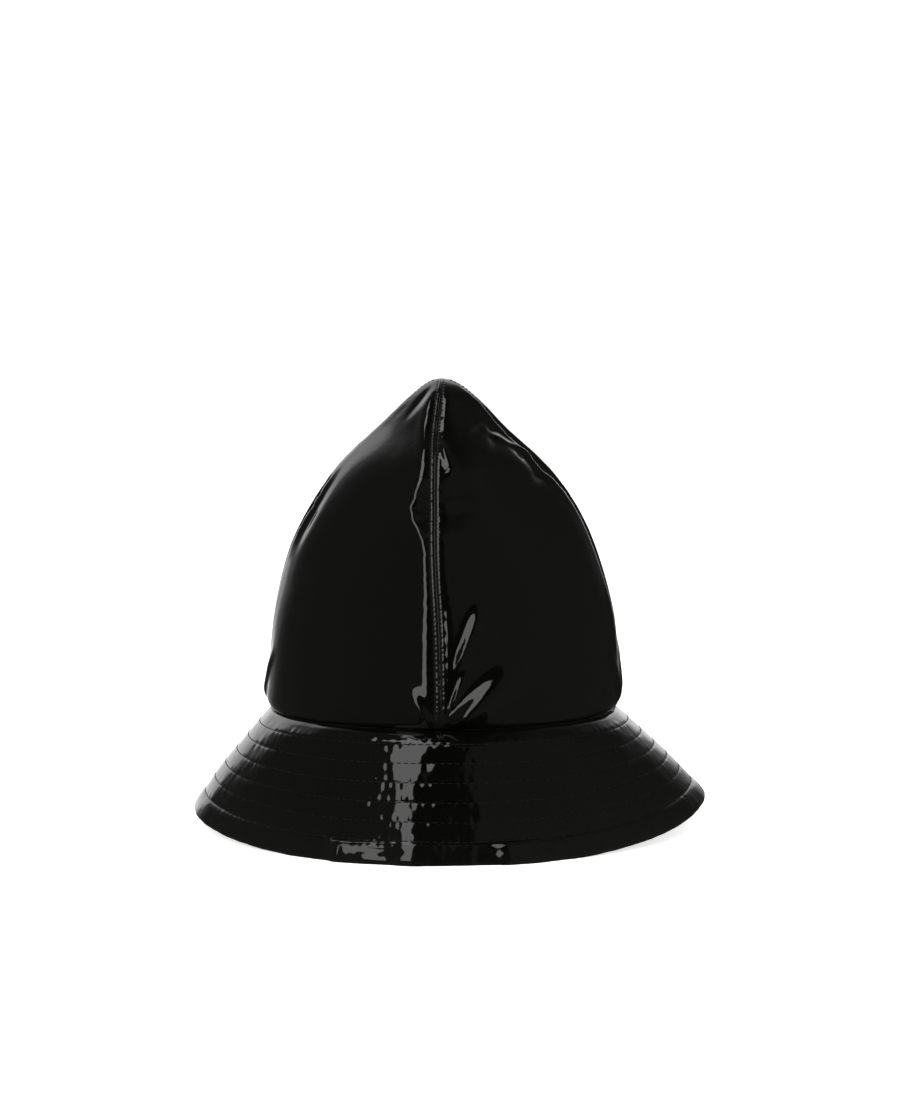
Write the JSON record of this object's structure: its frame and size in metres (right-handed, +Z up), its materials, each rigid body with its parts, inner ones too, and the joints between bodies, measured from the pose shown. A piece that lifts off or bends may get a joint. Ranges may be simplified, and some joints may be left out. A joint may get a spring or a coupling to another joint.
{
  "type": "fishing hat",
  "caption": "Tall pointed hat of wedge panels in glossy black patent cloth, over a sloping quilted brim with a soft turned edge.",
  "frame": {"origin": "middle of the hat's outline, on the surface that its brim stands on", "axes": "+Z up through the crown's point, -Y towards the front seam, +X to the right as seen from the front"},
  "size_m": [0.2628, 0.2366, 0.2295],
  "materials": {
    "crown_patent": "black patent cloth with a smooth, mirror-like coat and a dull woven backing",
    "brim_patent": "the same black patent cloth in two layers, quilted with rows of black thread",
    "thread": "black sewing thread with a slight sheen"
  },
  "bodies": {
    "root": {"crown_panel_front_left": "crown_patent", "crown_panel_front_right": "crown_patent", "crown_panel_back_right": "crown_patent", "crown_panel_back_left": "crown_patent", "brim": "brim_patent"}
  },
  "joints": []
}
